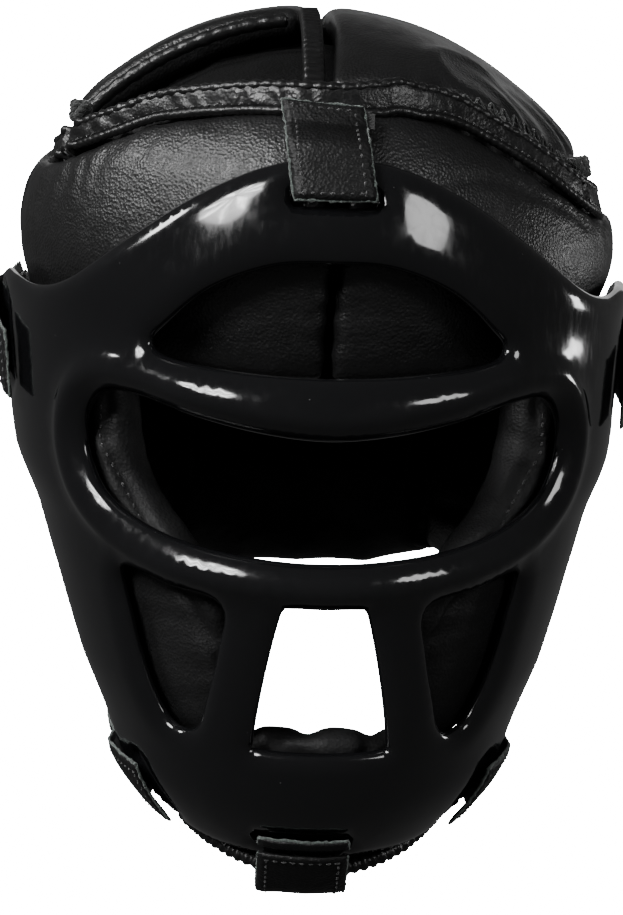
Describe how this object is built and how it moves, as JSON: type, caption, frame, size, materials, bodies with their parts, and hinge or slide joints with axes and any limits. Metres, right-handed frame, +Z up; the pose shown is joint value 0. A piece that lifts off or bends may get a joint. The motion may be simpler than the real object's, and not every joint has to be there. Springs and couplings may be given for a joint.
{
  "type": "boxing headgear",
  "caption": "Black padded leather boxing headgear with a moulded plastic face cage, hook-and-loop tabs and a laced crown",
  "frame": {"origin": "middle of the head cavity, half way up the forehead band", "axes": "+Z up through the crown, -Y out of the face opening, +X towards the wearer's left"},
  "size_m": [0.2432, 0.2763, 0.3083],
  "materials": {
    "leather": "semi-gloss, fine grain",
    "cage": "glossy",
    "binding": "semi-gloss, rolled",
    "tab": "satin with raw edges",
    "hook": "matt, bristly",
    "loop": "matt, napped",
    "lining": "satin, suede-like",
    "cord": "matt, braided",
    "webbing": "matt, woven"
  },
  "bodies": {
    "head_guard": {"forehead_pad_left": "leather", "forehead_pad_right": "leather", "side_pad_left": "leather", "side_pad_right": "leather", "rear_pad": "leather", "cheek_pad_left": "leather", "cheek_pad_right": "leather", "forehead_lining": "lining", "side_lining_left": "lining", "side_lining_right": "lining", "rear_lining": "lining", "crown_main_panel": "leather", "crown_left_panel": "leather", "crown_rear_panel": "leather", "crown_lining": "lining", "vent_binding_front": "binding", "vent_binding_rear": "binding", "band_binding_lower": "binding", "band_binding_upper": "binding", "crown_lace_left": "cord", "crown_lace_right": "cord", "chin_cup": "leather", "chin_cup_binding": "binding", "top_loop_patch": "loop", "temple_left_loop_patch": "loop", "temple_right_loop_patch": "loop", "jaw_left_loop_patch": "loop", "jaw_right_loop_patch": "loop", "chin_loop_patch": "loop", "jaw_strap_left": "tab", "jaw_strap_right": "tab", "rear_loop_patch": "loop", "rear_strap_anchor": "tab", "chin_strap_short": "webbing", "chin_strap_loop_patch": "loop"},
    "face_cage": {"face_cage": "cage"},
    "top_tab": {"top_tab": "tab", "top_hook_patch": "hook"},
    "temple_tab_right": {"temple_tab_right": "tab", "temple_right_hook_patch": "hook"},
    "temple_tab_left": {"temple_tab_left": "tab", "temple_left_hook_patch": "hook"},
    "jaw_tab_right": {"jaw_tab_right": "tab", "jaw_right_hook_patch": "hook"},
    "jaw_tab_left": {"jaw_tab_left": "tab", "jaw_left_hook_patch": "hook"},
    "chin_tab": {"chin_tab": "tab", "chin_hook_patch": "hook"},
    "rear_strap": {"rear_strap": "tab", "rear_hook_patch": "hook"},
    "chin_strap": {"chin_strap_long": "webbing", "chin_strap_hook_patch": "hook"}
  },
  "joints": [
    {"name": "face_cage_pull", "type": "slide", "parent": "head_guard", "child": "face_cage", "axis": [0, -1, 0], "range_m": [0, 0.12]},
    {"name": "top_tab_peel", "type": "hinge", "parent": "face_cage", "child": "top_tab", "pos_m": [0, -0.13281, 0.09979], "axis": [1, 0, 0], "range_deg": [0, 110]},
    {"name": "temple_tab_right_peel", "type": "hinge", "parent": "face_cage", "child": "temple_tab_right", "pos_m": [0.11483, -0.0432, 0.02683], "axis": [-0.0897, -0.2626, -0.9607], "range_deg": [0, 100]},
    {"name": "temple_tab_left_peel", "type": "hinge", "parent": "face_cage", "child": "temple_tab_left", "pos_m": [-0.11535, -0.04173, 0.03381], "axis": [-0.097, 0.2791, 0.9554], "range_deg": [0, 100]},
    {"name": "jaw_tab_right_peel", "type": "hinge", "parent": "face_cage", "child": "jaw_tab_right", "pos_m": [0.05774, -0.10669, -0.12164], "axis": [-0.4522, 0.2005, -0.8691], "range_deg": [0, 90]},
    {"name": "jaw_tab_left_peel", "type": "hinge", "parent": "face_cage", "child": "jaw_tab_left", "pos_m": [-0.05774, -0.10669, -0.12164], "axis": [-0.4522, -0.2005, 0.8691], "range_deg": [0, 90]},
    {"name": "chin_tab_peel", "type": "hinge", "parent": "face_cage", "child": "chin_tab", "pos_m": [-0.004, -0.13682, -0.132], "axis": [-1, 0, 0], "range_deg": [0, 100]},
    {"name": "rear_strap_peel", "type": "hinge", "parent": "head_guard", "child": "rear_strap", "pos_m": [0.0794, 0.07594, -0.04171], "axis": [-0.1116, -0.1222, -0.9862], "range_deg": [0, 100]},
    {"name": "chin_strap_peel", "type": "hinge", "parent": "head_guard", "child": "chin_strap", "pos_m": [-0.04603, -0.05653, -0.13333], "axis": [0, 0.9701, 0.2425], "range_deg": [0, 90]}
  ]
}
